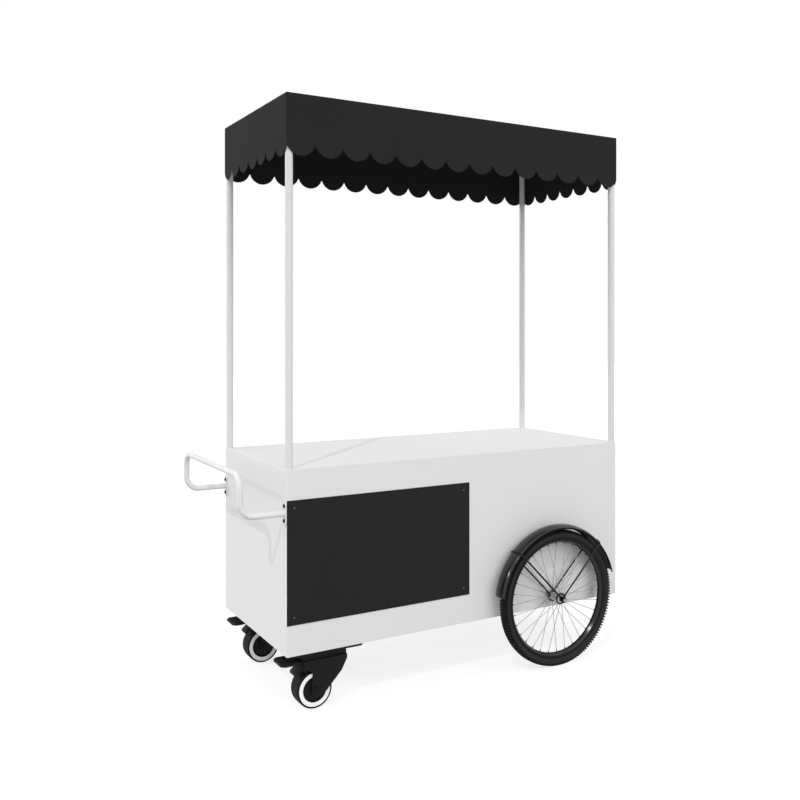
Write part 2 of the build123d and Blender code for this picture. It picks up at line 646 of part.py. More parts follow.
def caster_fork():
    axle_z, sole = CASTER_RADIUS, CASTER_RADIUS - FORK_LEG
    hood = PEDAL_PIN_Z - PEDAL_PIN_DROP
    outline = FilletPolyline(
        (FORK_FRONT, FORK_TOP), (-FORK_BACK, FORK_TOP), (-FORK_BACK, hood),
        (-CASTER_TRAIL - FORK_WAIST, hood - FORK_STEP), (-CASTER_TRAIL - FORK_HEEL, sole),
        (FORK_TOE - CASTER_TRAIL, sole), (FORK_ELBOW_REACH, axle_z + FORK_ELBOW_RISE),
        (FORK_FRONT, FORK_TOP - FORK_BROW), close=True,
        radius=[FORK_NOSE] + 3 * [FORK_CORNER] + 4 * [FORK_ROUND])
    fork = side_plate(outline, FORK_WIDTH)
    slot = Box(4 * FORK_FRONT, FORK_SLOT, FORK_SLOT_TOP, align=STANDING)
    fork -= slot
    ledge = Box(4 * FORK_FRONT, FORK_LEDGE, FORK_CROWN, align=(Align.CENTER, Align.MIN, Align.MIN))
    fork -= front_and_rear(Pos(0, FORK_WIDTH / 2 - FORK_LEDGE, FORK_SLOT_TOP + FORK_DECK) * ledge)
    ear = Box(
        FORK_EAR_WIDTH, FORK_EAR_PROUD, FORK_SLOT_TOP + FORK_DECK - hood - FORK_CORNER,
        align=(Align.CENTER, Align.MIN, Align.MIN))
    fork += front_and_rear(Pos(PEDAL_PIN_X - FORK_EAR_LEAN, FORK_WIDTH / 2, hood + FORK_CORNER) * ear)
    fork -= Pos(0, 0, FORK_TOP) * Cylinder(KINGPIN_DIAMETER / 2 + RUNNING_GAP, 4 * FORK_CROWN)
    bore = rod(CASTER_AXLE + 2 * SLIP_GAP, (0, -FORK_WIDTH, 0), (0, FORK_WIDTH, 0))
    return fork - Pos(-CASTER_TRAIL, 0, axle_z) * bore


def caster_axle():
    """A bolt through both cheeks, with a hexagon head outside one and its nut outside the other."""
    half = FORK_WIDTH / 2
    cap = prism(CASTER_AXLE_HEAD, 6, (0, -half - CASTER_AXLE_HEAD_HEIGHT, 0), (0, -half, 0))
    bolt = rod(CASTER_AXLE, (0, -half, 0), (0, half, 0)) + front_and_rear(cap)
    return Pos(-CASTER_TRAIL, 0, CASTER_RADIUS) * bolt


def pedal_pin():
    """A pin welded between the cheeks."""
    half = FORK_SLOT / 2
    return Pos(PEDAL_PIN_X, 0, PEDAL_PIN_Z) * rod(PEDAL_PIN, (0, -half, 0), (0, half, 0))


def caster_ring(right):
    return Pos(-CASTER_TRAIL, 0, CASTER_RADIUS) * wheel_ring(right)


def caster_tread():
    outer, half = CASTER_RADIUS, CASTER_TREAD_WIDTH / 2
    inner, cut = outer - CASTER_TREAD_THICKNESS, CASTER_TREAD_CHAMFER
    return caster_ring([(inner, half), (outer - cut, half), (outer, half - cut)])


def caster_rim():
    outer = CASTER_RADIUS - CASTER_TREAD_THICKNESS - SLIP_GAP
    inner = CASTER_HUB_DIAMETER / 2 + SLIP_GAP
    half = CASTER_RIM_WIDTH / 2
    return caster_ring([(inner, half), (outer, half)])


def caster_hub():
    outer, bore = CASTER_HUB_DIAMETER / 2, CASTER_AXLE / 2 + RUNNING_GAP
    half = CASTER_HUB_WIDTH / 2
    return caster_ring([(bore, half), (outer, half)])


def brake_pedal():
    """A rocker on its pin: a ribbed pad to press, a tab that lifts it again, and a brake shoe."""
    hub_half = FORK_SLOT / 2 - PEDAL_END_GAP
    rocker = rod(PEDAL_HUB, (0, -hub_half, 0), (0, hub_half, 0))
    neck = PEDAL_HUB / 2
    arm_end = PEDAL_PAD_LENGTH - PEDAL_REACH
    arm = Polyline(
        (0, neck - SEAT_GAP), (arm_end, PEDAL_LIFT), (arm_end, PEDAL_LIFT - PEDAL_ARM_THICKNESS),
        (-neck / 2, -neck / 2), close=True)
    rocker += side_plate(arm, FORK_SLOT - 2 * PEDAL_ARM_GAP)
    pad = Box(
        PEDAL_PAD_LENGTH, PEDAL_PAD_WIDTH, PEDAL_PAD_THICKNESS, align=(Align.MIN, Align.CENTER, Align.MAX))
    tip = pad.edges().filter_by(Axis.Z).group_by(Axis.X)[0]
    pad = chamfer(tip, PEDAL_PAD_CORNER)
    pitch = (PEDAL_PAD_WIDTH - 2 * PEDAL_PAD_CORNER) / (PEDAL_RIBS - 1)
    rib_length = PEDAL_PAD_LENGTH - 2 * PEDAL_RIB_MARGIN
    rib = Pos(PEDAL_RIB_MARGIN, 0, 0) * Box(
        rib_length, PEDAL_RIB, PEDAL_RIB_HEIGHT, align=(Align.MIN, Align.CENTER, Align.MIN))
    first = PEDAL_PAD_CORNER - PEDAL_PAD_WIDTH / 2
    pad += [Pos(0, first + index * pitch, 0) * rib for index in range(PEDAL_RIBS)]
    rocker += Pos(-PEDAL_REACH, 0, PEDAL_LIFT) * pad
    tab = Polyline(
        (-neck, 0), (-TAB_REACH, -TAB_DROP + TAB_THICKNESS), (-TAB_REACH, -TAB_DROP), (0, -neck + SEAT_GAP),
        close=True)
    rocker += side_plate(tab, FORK_SLOT - 2 * TAB_GAP)
    to_wheel = Vector(PEDAL_PIN_BACK - CASTER_TRAIL, CASTER_RADIUS - PEDAL_PIN_Z)
    shoe_reach = to_wheel.length - CASTER_RADIUS - SHOE_CLEARANCE
    shoe_width = FORK_SLOT - 2 * SHOE_GAP
    swing = -to_wheel.get_signed_angle(Vector(1, 0), Vector(0, 0, 1)) - PEDAL_TRAVEL
    shoe = Box(shoe_reach, shoe_width, SHOE_THICKNESS, align=(Align.MIN, Align.CENTER, Align.CENTER))
    shoe &= rod(2 * shoe_reach, (0, -shoe_width, 0), (0, shoe_width, 0))
    rocker += Rot(0, -swing, 0) * shoe
    rocker -= rod(PEDAL_PIN + 2 * RUNNING_GAP, (0, -FORK_SLOT, 0), (0, FORK_SLOT, 0))
    return Pos(PEDAL_PIN_X, 0, PEDAL_PIN_Z) * rocker


os.makedirs("parts", exist_ok=True)

save("body_casing", body_casing())
save("long_rails", long_rails())
save("cross_rails", cross_rails())
save("floor_panel", floor_panel())
save("inner_shelf", inner_shelf())
save("shelf_angles", shelf_angles())
save("sign_panel", sign_panel())
save("sign_screws", sign_screws())

corner_names = ("front_left", "rear_left", "front_right", "rear_right")
for corner_name, corner_post in zip(corner_names, four_corners(post())):
    save(f"{corner_name}_post", corner_post)
save("post_spigots", post_spigots())
save("canopy_long_rails", canopy_rails(BODY_LENGTH, BODY_DEPTH))
save("canopy_end_rails", Rot(0, 0, 90) * canopy_rails(BODY_DEPTH, BODY_LENGTH))
save("canopy_corners", canopy_corners())
save("canopy_cover", canopy_cover())

save("push_handle", push_handle())
save("handle_flanges", handle_flanges())
save("handle_bolts", handle_bolts())

save("wheel_axle", wheel_axle())
save("axle_spacers", axle_spacers())
save("axle_nuts", axle_nuts())

save("caster_plates", caster_plates())
save("caster_plate_bolts", caster_plate_bolts())
save("caster_races", caster_races())
save("caster_kingpins", caster_kingpins())

wheel_pieces = {
    "wheel_tyre": tyre(),
    "wheel_rim": rim(),
    "wheel_spokes": spokes(),
    "wheel_hub": hub(),
    "mudguard": mudguard(),
    "mudguard_stays": mudguard_stays(),
}
caster_pieces = {
    "caster_fork": caster_fork(),
    "caster_axle": caster_axle(),
    "pedal_pin": pedal_pin(),
    "caster_tread": caster_tread(),
    "caster_rim": caster_rim(),
    "caster_hub": caster_hub(),
    "brake_pedal": brake_pedal(),
}
for pieces, place in ((wheel_pieces, wheel_place), (caster_pieces, caster_place)):
    for piece_name, piece in pieces.items():
        front, rear = front_and_rear(place(piece))
        save(f"front_{piece_name}", front)
        save(f"rear_{piece_name}", rear)
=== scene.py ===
from math import acos, atan2, cos, pi, radians, sin, sqrt

import bmesh
import bpy
from mathutils import Matrix, Vector


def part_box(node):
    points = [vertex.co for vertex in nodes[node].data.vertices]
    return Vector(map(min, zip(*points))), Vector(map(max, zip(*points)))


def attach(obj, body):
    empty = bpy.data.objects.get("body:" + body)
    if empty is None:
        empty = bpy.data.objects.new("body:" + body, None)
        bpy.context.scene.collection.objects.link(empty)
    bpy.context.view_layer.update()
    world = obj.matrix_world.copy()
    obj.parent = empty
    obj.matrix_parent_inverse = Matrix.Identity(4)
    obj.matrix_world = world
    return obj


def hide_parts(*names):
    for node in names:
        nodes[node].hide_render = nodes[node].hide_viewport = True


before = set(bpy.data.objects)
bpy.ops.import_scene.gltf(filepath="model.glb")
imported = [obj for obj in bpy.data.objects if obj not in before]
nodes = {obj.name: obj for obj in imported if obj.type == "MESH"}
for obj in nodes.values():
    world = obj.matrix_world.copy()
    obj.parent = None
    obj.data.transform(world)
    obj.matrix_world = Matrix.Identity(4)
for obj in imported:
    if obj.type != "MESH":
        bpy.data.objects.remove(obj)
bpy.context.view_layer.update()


# Base frame: two long rails and four cross rails of rectangular steel tube, welded into a flat frame
# inside the foot of the body, then sprayed and baked in a slightly greyer white than the body.
class Shade:
    """A value in a material's node tree: sums on it add Math nodes, and node() adds any other node."""

    def __init__(self, tree, socket=None):
        self.tree = tree
        self.socket = socket

    def node(self, kind, settings, sockets, output=0):
        made = self.tree.nodes.new("ShaderNode" + kind)
        for name, value in settings.items():
            setattr(made, name, value)
        for name, value in sockets.items():
            if isinstance(value, Shade):
                self.tree.links.new(value.socket, made.inputs[name])
            else:
                made.inputs[name].default_value = value
        return Shade(self.tree, made.outputs[output] if made.outputs else None)

    def maths(self, operation, *values):
        return self.node("Math", {"operation": operation}, dict(enumerate(values)))

    def __add__(self, other):
        return self.maths("ADD", self, other)

    def __sub__(self, other):
        return self.maths("SUBTRACT", self, other)

    def __mul__(self, other):
        return self.maths("MULTIPLY", self, other)

    def __truediv__(self, other):
        return self.maths("DIVIDE", self, other)

    def __gt__(self, other):
        return self.maths("GREATER_THAN", self, other)

    def __lt__(self, other):
        return self.maths("LESS_THAN", self, other)

    __radd__ = __add__

    def place(self):
        """Where a point lies on the stall, in metres."""
        return self.node("TexCoord", {}, {}, "Object")

    def along(self, axis):
        """One coordinate of a place."""
        return self.node("SeparateXYZ", {}, {"Vector": self}, axis)

    def noise(self, place, scale, detail=2.0):
        return self.node("TexNoise", {}, {"Vector": place, "Scale": scale, "Detail": detail})

    def mix(self, amount, first, second):
        return self.node("Mix", {"data_type": "RGBA"}, {0: amount, 6: first, 7: second}, 2)

    def bump(self, height, depth, strength):
        return self.node("Bump", {}, {"Height": height, "Distance": depth, "Strength": strength})

    def surface(self, sockets):
        shader = self.node("BsdfPrincipled", {}, sockets)
        self.node("OutputMaterial", {}, {"Surface": shader})


def new_material(name):
    material = bpy.data.materials.new(name)
    material.use_nodes = True
    material.node_tree.nodes.clear()
    return material, Shade(material.node_tree)


def grey(level, warmth=0.0):
    """A near-neutral colour from its brightness on screen, 0 to 255, and how far red stands over blue."""
    def channel(value):
        share = value / 255
        return share / 12.92 if share < 0.04045 else ((share + 0.055) / 1.055) ** 2.4
    return channel(level + warmth / 2), channel(level), channel(level - warmth / 2), 1.0


def powder_coat(name, level, roughness):
    """Baked powder paint: an orange-peel skin, and cloudy unevenness of tone and gloss."""
    material, shade = new_material(name)
    place = shade.place()
    cloud = shade.noise(place, 2.6, 5.0)
    peel = shade.noise(place, 420.0)
    shade.surface({
        "Base Color": shade.mix(cloud, grey(level - 3, 1), grey(level + 2, -1)),
        "Roughness": roughness - 0.06 + cloud * 0.12,
        "Normal": shade.bump(peel, 0.0004, 0.15),
        "Specular IOR Level": 0.25,
    })
    return material


def dress(material, *names):
    """Give CAD nodes a material."""
    for name in names:
        nodes[name].data.materials.clear()
        nodes[name].data.materials.append(material)


frame_paint = powder_coat("frame_paint", 198, 0.5)
dress(frame_paint, "long_rails", "cross_rails")

# Storage body: front, ends and counter folded from one steel sheet, with the floor, the shelf and the
# angles that carry it inside. All of it is powder coated white and open at the back.
white_paint = powder_coat("white_paint", 218, 0.46)
dress(white_paint, "body_casing", "floor_panel", "inner_shelf", "shelf_angles")


# Sign panel: a bare board of sheet metal, painted satin black. It lies flat on the front of the body and is
# held by four small plated screws with domed heads and hexagon sockets.
def satin_black(name, level, roughness, grain, depth):
    """Black paint or plastic with a fine grain and cloudy wear in its gloss."""
    material, shade = new_material(name)
    place = shade.place()
    cloud = shade.noise(place, 7.0, 4.0)
    skin = shade.noise(place, grain, 3.0)
    shade.surface({
        "Base Color": shade.mix(cloud, grey(level - 3), grey(level + 3)),
        "Roughness": roughness - 0.08 + cloud * 0.16,
        "Normal": shade.bump(skin, depth, 0.3),
        "Specular IOR Level": 0.13,
    })
    return material


def plated_steel(name, level, roughness):
    """Bare or plated steel with fine drawn lines and slight staining."""
    material, shade = new_material(name)
    place = shade.place()
    stain = shade.noise(place, 38.0, 5.0)
    lines = shade.noise(place, 900.0)
    shade.surface({
        "Base Color": shade.mix(stain, grey(level - 12, -2), grey(level + 8)),
        "Metallic": 1.0,
        "Roughness": roughness - 0.07 + stain * 0.14,
        "Normal": shade.bump(lines, 0.0001, 0.15),
    })
    return material


weld_distance = 1e-6


def add_piece(name, bm, material, slot, body, *replaced, sharp=38):
    """Make a bmesh a piece of the stall that rides on a body and stands for CAD nodes."""
    bmesh.ops.remove_doubles(bm, verts=bm.verts, dist=weld_distance)
    bmesh.ops.recalc_face_normals(bm, faces=bm.faces)
    mesh = bpy.data.meshes.new(name)
    bm.to_mesh(mesh)
    bm.free()
    mesh.materials.append(material)
    mesh.shade_smooth()
    mesh.set_sharp_from_angle(angle=radians(sharp))
    piece = bpy.data.objects.new(name, mesh)
    bpy.context.scene.collection.objects.link(piece)
    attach(piece, body)
    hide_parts(*replaced)
    return piece


def copies(bm, places):
    """Copies of a shape, each moved to its own place."""
    pattern = bpy.data.meshes.new("pattern")
    bm.to_mesh(pattern)
    bm.clear()
    for place in places:
        before = len(bm.verts)
        bm.from_mesh(pattern)
        bm.verts.ensure_lookup_table()
        bmesh.ops.transform(bm, matrix=place, verts=bm.verts[before:])
    bpy.data.meshes.remove(pattern)
    return bm


def socket_heads(width, height, socket, places):
    """Domed screw heads with a hexagon socket, each standing on the plane of its place."""
    dome, brim_width, socket_depth = 0.7 * height, 0.05 * width, 0.6 * height
    bm = bmesh.new()
    bmesh.ops.create_cone(
        bm, cap_ends=True, segments=24, radius1=width / 2, radius2=width / 2, depth=height,
        matrix=Matrix.Translation((0, 0, height / 2)))
    brim = [edge for edge in bm.edges if all(vert.co.z > height / 2 for vert in edge.verts)]
    bmesh.ops.bevel(bm, geom=brim, offset=dome, segments=4, profile=0.5, affect="EDGES", material=-1)
    top = max(bm.faces, key=lambda face: face.calc_center_median().z)
    bmesh.ops.inset_individual(bm, faces=[top], thickness=brim_width)
    for vert in top.verts:
        from_flat = atan2(vert.co.y, vert.co.x) % radians(60) - radians(30)
        vert.co.xy *= socket / 2 / cos(from_flat) / vert.co.xy.length
    floor = bmesh.ops.extrude_discrete_faces(bm, faces=[top])["faces"][0]
    bmesh.ops.translate(bm, verts=floor.verts, vec=(0, 0, -socket_depth))
    return copies(bm, places)


sign_black = satin_black("sign_board", 25, 0.5, 900.0, 0.0002)
screw_steel = plated_steel("screw_steel", 108, 0.4)
dress(sign_black, "sign_panel")

screw_inset = 0.025
screw_width, screw_height, screw_socket = 0.006, 0.002, 0.0025
low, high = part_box("sign_panel")
facing_front = Matrix.Rotation(radians(90), 4, "X")
screw_places = [
    Matrix.Translation((x, low.y, z)) @ facing_front
    for x in (low.x + screw_inset, high.x - screw_inset) for z in (low.z + screw_inset, high.z - screw_inset)]
screw_heads = socket_heads(screw_width, screw_height, screw_socket, screw_places)
add_piece("sign_socket_screws", screw_heads, screw_steel, "zinc_steel", "cart", "sign_screws")

# Posts: four round steel tubes, coated white a little greyer than the body and pushed over spigots that
# are welded to the counter's corners.
post_paint = powder_coat("post_paint", 213, 0.46)
dress(post_paint, "front_left_post", "front_right_post", "rear_left_post", "rear_right_post", "post_spigots")

# Canopy frame: rails of square steel tube between corner fittings, which plug into the rails and into the
# posts' tops. It is painted like the base frame and lies under the cloth.
dress(frame_paint, "canopy_long_rails", "canopy_end_rails", "canopy_corners")

# Canopy: one sheet of black coated canvas, stretched over the frame and sagging a little between the
# rails. Its skirts hang free, are cut in scallops and have a turned hem with a row of stitches.
front_scallops, end_scallops = 14, 7
scallop_columns, skirt_rows = 12, 12
scallop_depth = 0.035
top_sag, rail_width = 0.011, 0.025
top_ripple, ripples_along, ripples_across = 0.0005, 9, 5
skirt_swing, swing_curve, long_swings, end_swings = 0.0035, 1.5, 4, 2
uneven_share, uneven_waves = 0.3, 23
scallop_flare, flare_start, long_fade, end_fade = 0.002, 0.75, 12, 6
fold_radius, fold_angle, cloth_thickness = 0.002, radians(50), 0.0012
edge_margin, facing_share = 1e-4, 0.7
low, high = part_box("canopy_cover")
canopy_middle = (low + high) / 2
canopy_span = high - low
skirt_depth = canopy_span.z
front_pitch, end_pitch = canopy_span.x / front_scallops, canopy_span.y / end_scallops


def scallop_radius(pitch):
    return ((pitch / 2) ** 2 + scallop_depth**2) / (2 * scallop_depth)


def scallop_edge(along, pitch):
    """How far a skirt's lower edge stands above its lowest point, at a distance along the skirt."""
    offset = (along / pitch) % 1 * pitch - pitch / 2
    radius = scallop_radius(pitch)
    return radius - sqrt(radius**2 - offset**2)


def on_long_skirt(vert):
    return abs(abs(vert.co.y - canopy_middle.y) - canopy_span.y / 2) < edge_margin


bm = bmesh.new()
bmesh.ops.create_grid(
    bm, x_segments=front_scallops * scallop_columns, y_segments=end_scallops * scallop_columns, size=0.5,
    matrix=Matrix.Translation((canopy_middle.x, canopy_middle.y, high.z))
    @ Matrix.Diagonal((canopy_span.x, canopy_span.y, 1, 1)))
for vert in bm.verts:
    across_x = abs(vert.co.x - canopy_middle.x) / (canopy_span.x / 2 - rail_width)
    across_y = abs(vert.co.y - canopy_middle.y) / (canopy_span.y / 2 - rail_width)
    hollow = max(0, 1 - across_x**2) * max(0, 1 - across_y**2)
    ripple = sin(ripples_along * across_x * pi) * sin(ripples_across * across_y * pi)
    vert.co.z -= (top_sag + top_ripple * ripple) * hollow
hem = [edge for edge in bm.edges if edge.is_boundary]
skirt = []
for row in range(skirt_rows):
    grown = bmesh.ops.extrude_edge_only(bm, edges=hem)["geom"]
    hem = [item for item in grown if isinstance(item, bmesh.types.BMEdge)]
    lower = [item for item in grown if isinstance(item, bmesh.types.BMVert)]
    bmesh.ops.translate(bm, verts=lower, vec=(0, 0, -skirt_depth / skirt_rows))
    skirt += lower
for vert in skirt:
    along, pitch = (vert.co.x - low.x, front_pitch) if on_long_skirt(vert) else (vert.co.y - low.y, end_pitch)
    vert.co.z += (high.z - vert.co.z) / skirt_depth * scallop_edge(along, pitch)
bmesh.ops.recalc_face_normals(bm, faces=bm.faces)
cloth_map = bm.loops.layers.uv.new("cloth_map")
end_offset, top_offset = 10.0, 10.0
for face in bm.faces:
    for loop in face.loops:
        point = loop.vert.co
        if abs(face.normal.z) > facing_share:
            loop[cloth_map].uv = (point.x, point.y + top_offset)
        elif abs(face.normal.y) > facing_share:
            loop[cloth_map].uv = (point.x - low.x, point.z - low.z)
        else:
            loop[cloth_map].uv = (point.y - low.y + end_offset, point.z - low.z)
for vert in skirt:
    drop = (high.z - vert.co.z) / skirt_depth
    flare = scallop_flare * max(0, (drop - flare_start) / (1 - flare_start)) ** 2
    from_x, from_y = vert.co.x - canopy_middle.x, vert.co.y - canopy_middle.y
    share_x, share_y = from_x / canopy_span.x + 0.5, from_y / canopy_span.y + 0.5
    if on_long_skirt(vert):
        swing = skirt_swing * sin(long_swings * pi * share_x) ** 2
        swing *= 1 - uneven_share + uneven_share * sin(uneven_waves * share_x)
        window = min(1, long_fade * share_x, long_fade * (1 - share_x))
        vert.co.y += (swing * drop**swing_curve + flare * window) * (1 if from_y > 0 else -1)
    else:
        swing = skirt_swing * sin(end_swings * pi * share_y) ** 2
        window = min(1, end_fade * share_y, end_fade * (1 - share_y))
        vert.co.x += (swing * drop**swing_curve + flare * window) * (1 if from_x > 0 else -1)
folds = [edge for edge in bm.edges if len(edge.link_faces) == 2 and edge.calc_face_angle() > fold_angle]
bmesh.ops.bevel(bm, geom=folds, offset=fold_radius, segments=3, profile=0.5, affect="EDGES", material=-1)
bmesh.ops.solidify(bm, geom=bm.faces[:], thickness=cloth_thickness)

canopy_cloth, shade = new_material("canopy_cloth")
cloth_place = shade.node("UVMap", {"uv_map": "cloth_map"}, {})
cloth_x, cloth_z = cloth_place.along("X"), cloth_place.along("Y")
on_end = cloth_x > end_offset / 2
pitch = front_pitch + on_end * (end_pitch - front_pitch)
radius = scallop_radius(front_pitch) + on_end * (scallop_radius(end_pitch) - scallop_radius(front_pitch))
beside = shade.maths("FRACT", (cloth_x - on_end * end_offset) / pitch) * pitch - pitch * 0.5
above = cloth_z - radius
from_edge = radius - shade.maths("SQRT", beside * beside + above * above)
thread = 0.0011
weave = shade.maths("SINE", cloth_x * (2 * pi / thread)) * shade.maths("SINE", cloth_z * (2 * pi / thread))
hem_width, stitch_inset, stitch_width, stitch_length = 0.009, 0.002, 0.0009, 0.007
stitch_gap, centre_margin = 0.3, 0.004
below_centre = above < -centre_margin
turned = (from_edge < hem_width) * below_centre
in_line = shade.maths("COMPARE", from_edge, hem_width - stitch_inset, stitch_width) * below_centre
around = shade.maths("ARCTAN2", beside, above) * radius
stitch = in_line * (shade.maths("FRACT", around / stitch_length) > stitch_gap)
cloud = shade.noise(shade.place(), 4.5, 6.0)
slub = shade.noise(shade.place(), 160.0, 3.0)
cloth_colour = shade.mix(cloud * 0.6 + slub * 0.4, grey(31), grey(40))
shade.surface({
    "Base Color": shade.mix(stitch * 0.4, cloth_colour, grey(44)),
    "Roughness": 0.8 + slub * 0.12,
    "Normal": shade.bump(weave * 0.25 + slub * 0.5 + turned * 0.8 + stitch, 0.0006, 0.4),
    "Specular IOR Level": 0.1,
})


def segment_gap(pitch):
    """The cloth cut away below one scallop's arc."""
    radius = scallop_radius(pitch)
    below_centre = radius - scallop_depth
    segment = radius**2 * acos(below_centre / radius) - below_centre * pitch / 2
    return pitch * scallop_depth - segment


canopy = add_piece("canopy_sheet", bm, canopy_cloth, "canopy_cloth", "cart", "canopy_cover")
cut_width, cut_length = canopy_span.x + 2 * skirt_depth, canopy_span.y + 2 * skirt_depth
cut_area = cut_width * cut_length - 4 * skirt_depth**2
cut_area -= 2 * (front_scallops * segment_gap(front_pitch) + end_scallops * segment_gap(end_pitch))

# Push handle: one bent steel tube, coated white and welded to two oval flanges on the left end. Each flange
# is held by two domed black socket bolts.
dress(white_paint, "push_handle", "handle_flanges")
fastener_black = satin_black("black_fastener", 12, 0.4, 700.0, 0.0001)
bolt_width, bolt_height, bolt_socket = 0.013, 0.0035, 0.006
bolt_spacing, flange_half_width = 0.047, 0.012
low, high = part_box("handle_flanges")
facing_left = Matrix.Rotation(radians(-90), 4, "Y")
flange_z = (low.z + high.z) / 2
bolt_places = [
    Matrix.Translation((low.x, y, z)) @ facing_left
    for y in (low.y + flange_half_width, high.y - flange_half_width)
    for z in (flange_z - bolt_spacing / 2, flange_z + bolt_spacing / 2)]
bolt_heads = socket_heads(bolt_width, bolt_height, bolt_socket, bolt_places)
add_piece("handle_socket_bolts", bolt_heads, fastener_black, "black_fastener", "cart", "handle_bolts")

# Axle: one zinc plated steel bar through both long rails, with a spacer between the body and each wheel.
# Black hexagon nuts lock it behind the rails and hold the wheels and stays on its ends.
zinc_steel = plated_steel("zinc_steel", 168, 0.36)
dress(zinc_steel, "wheel_axle", "axle_spacers")
dress(fastener_black, "axle_nuts")

# Road wheel tyres: black rubber, moulded with bulging ribbed sidewalls and seven rows of small tread knobs.
# Each is seated in the channel of its rim.
wheel_middle = (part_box("front_wheel_tyre")[0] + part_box("front_wheel_tyre")[1]) / 2


def ring_of(bm, right, steps):
    """Turn a closed outline round the axle: radius and distance across of its corners on one side."""
    outline = right + [(radius, -across) for radius, across in reversed(right)]
    verts = [bm.verts.new((radius, across, 0)) for radius, across in outline]
    edges = [bm.edges.new(ends) for ends in zip(verts, verts[1:] + verts[:1])]
    bmesh.ops.spin(
        bm, geom=verts + edges, cent=(0, 0, 0), axis=(0, 1, 0), angle=2 * pi, steps=steps, use_merge=True)
    bmesh.ops.remove_doubles(bm, verts=bm.verts, dist=weld_distance)
    bmesh.ops.recalc_face_normals(bm, faces=bm.faces)


def both_sides(bm, middle, label, material, slot, body, node, sharp=38):
    """A piece drawn about its own middle, put on the front side and mirrored on the rear side."""
    for side, turn in (("front", 1), ("rear", -1)):
        copy = bm.copy()
        bmesh.ops.translate(copy, verts=copy.verts, vec=middle)
        bmesh.ops.scale(copy, verts=copy.verts, vec=(1, turn, 1))
        on_body = body if body == "cart" else f"{side}_{body}"
        add_piece(f"{side}_{label}", copy, material, slot, on_body, f"{side}_{node}", sharp=sharp)
    bm.free()


knobs_round = 140
knob_height, knob_draft = 0.0056, 0.0003
tread_start, row_edges, centre_row = 0.2395, (0.0148, 0.0084, 0.0030), 3
bm = bmesh.new()
ring_of(bm, [
    (0.2126, 0.0098), (0.2195, 0.0104), (0.2225, 0.0140), (0.2265, 0.0185), (0.2320, 0.0207),
    (0.2367, 0.0207), (0.2399, 0.0191), (0.2424, 0.0148), (0.2438, 0.0084),
    (0.2443, 0.0030)], 2 * knobs_round)
knobs = []
for face in bm.faces:
    centre = face.calc_center_median()
    row = sum(abs(centre.y) < edge for edge in row_edges)
    column = int(atan2(centre.z, centre.x) % (2 * pi) / (pi / knobs_round))
    offset = 1 if row == centre_row else 0
    if Vector((centre.x, centre.z)).length > tread_start and column % 2 == offset:
        knobs.append(face)
bmesh.ops.inset_individual(bm, faces=knobs, thickness=knob_draft)
for knob in bmesh.ops.extrude_discrete_faces(bm, faces=knobs)["faces"]:
    bmesh.ops.translate(bm, verts=knob.verts, vec=knob.normal * knob_height)


def from_axle(shade):
    """How far a point lies from the road wheels' axle, in metres."""
    from_middle = shade.node("VectorMath", {"operation": "SUBTRACT"}, {0: shade.place(), 1: wheel_middle})
    flat = shade.node("VectorMath", {"operation": "MULTIPLY"}, {0: from_middle, 1: (1, 0, 1)})
    return shade.node("VectorMath", {"operation": "LENGTH"}, {0: flat}, "Value")


tyre_rubber, shade = new_material("tyre_rubber")
place = shade.place()
reach = from_axle(shade)
sidewall_start, sidewall_end, rib_pitch = 0.2225, 0.2370, 0.0024
ridge = shade.maths("SINE", reach * (2 * pi / rib_pitch)) * (reach > sidewall_start) * (reach < sidewall_end)
# Painted shade: the grooves between the tread knobs and the knobs' sides are coloured darker.
groove_start, groove_end = 0.2390, 0.2450
painted_groove_shade = (reach > groove_start) * (reach < groove_end)
dust = shade.noise(place, 55.0, 5.0)
grit = shade.noise(place, 800.0)
shade.surface({
    "Base Color": shade.mix(painted_groove_shade, shade.mix(dust, grey(29), grey(41, 2)), grey(20)),
    "Roughness": 0.62 + dust * 0.2,
    "Normal": shade.bump(ridge * 0.4 + grit * 0.3, 0.0005, 0.5),
    "Specular IOR Level": 0.15,
})
both_sides(bm, wheel_middle, "knobbly_tyre", tyre_rubber, "tyre_rubber", "wheel", "wheel_tyre", sharp=30)

# Road wheel rims: a rolled alloy channel whose flanks fold in to a ridge for the spokes. Black, with gloss
# lacquer on the flanks, and matt on the ridge and on the walls that hold the tyre.
rim_black, shade = new_material("rim_black")
flank_start, flank_end = 0.2043, 0.2112
reach = from_axle(shade)
lacquered = (reach > flank_start) * (reach < flank_end)
cloud = shade.noise(shade.place(), 11.0, 4.0)
shade.surface({
    "Base Color": shade.mix(reach > flank_end, shade.mix(cloud, grey(5), grey(11)), grey(27)),
    "Roughness": 0.55 + cloud * 0.1,
    "Specular IOR Level": 0.08,
    "Coat Weight": lacquered * (0.6 + cloud * 0.2),
    "Coat Roughness": 0.22,
})
rim_steps = 160
bm = bmesh.new()
ring_of(bm, [
    (0.2121, 0.0108), (0.2190, 0.0111), (0.2208, 0.0118), (0.2209, 0.0134), (0.2200, 0.0140),
    (0.2138, 0.0139), (0.2122, 0.0135), (0.2104, 0.0124), (0.2098, 0.0116), (0.2041, 0.0040),
    (0.2035, 0.0032), (0.2030, 0.0020)], rim_steps)
both_sides(bm, wheel_middle, "rolled_rim", rim_black, "rim_black", "wheel", "wheel_rim")

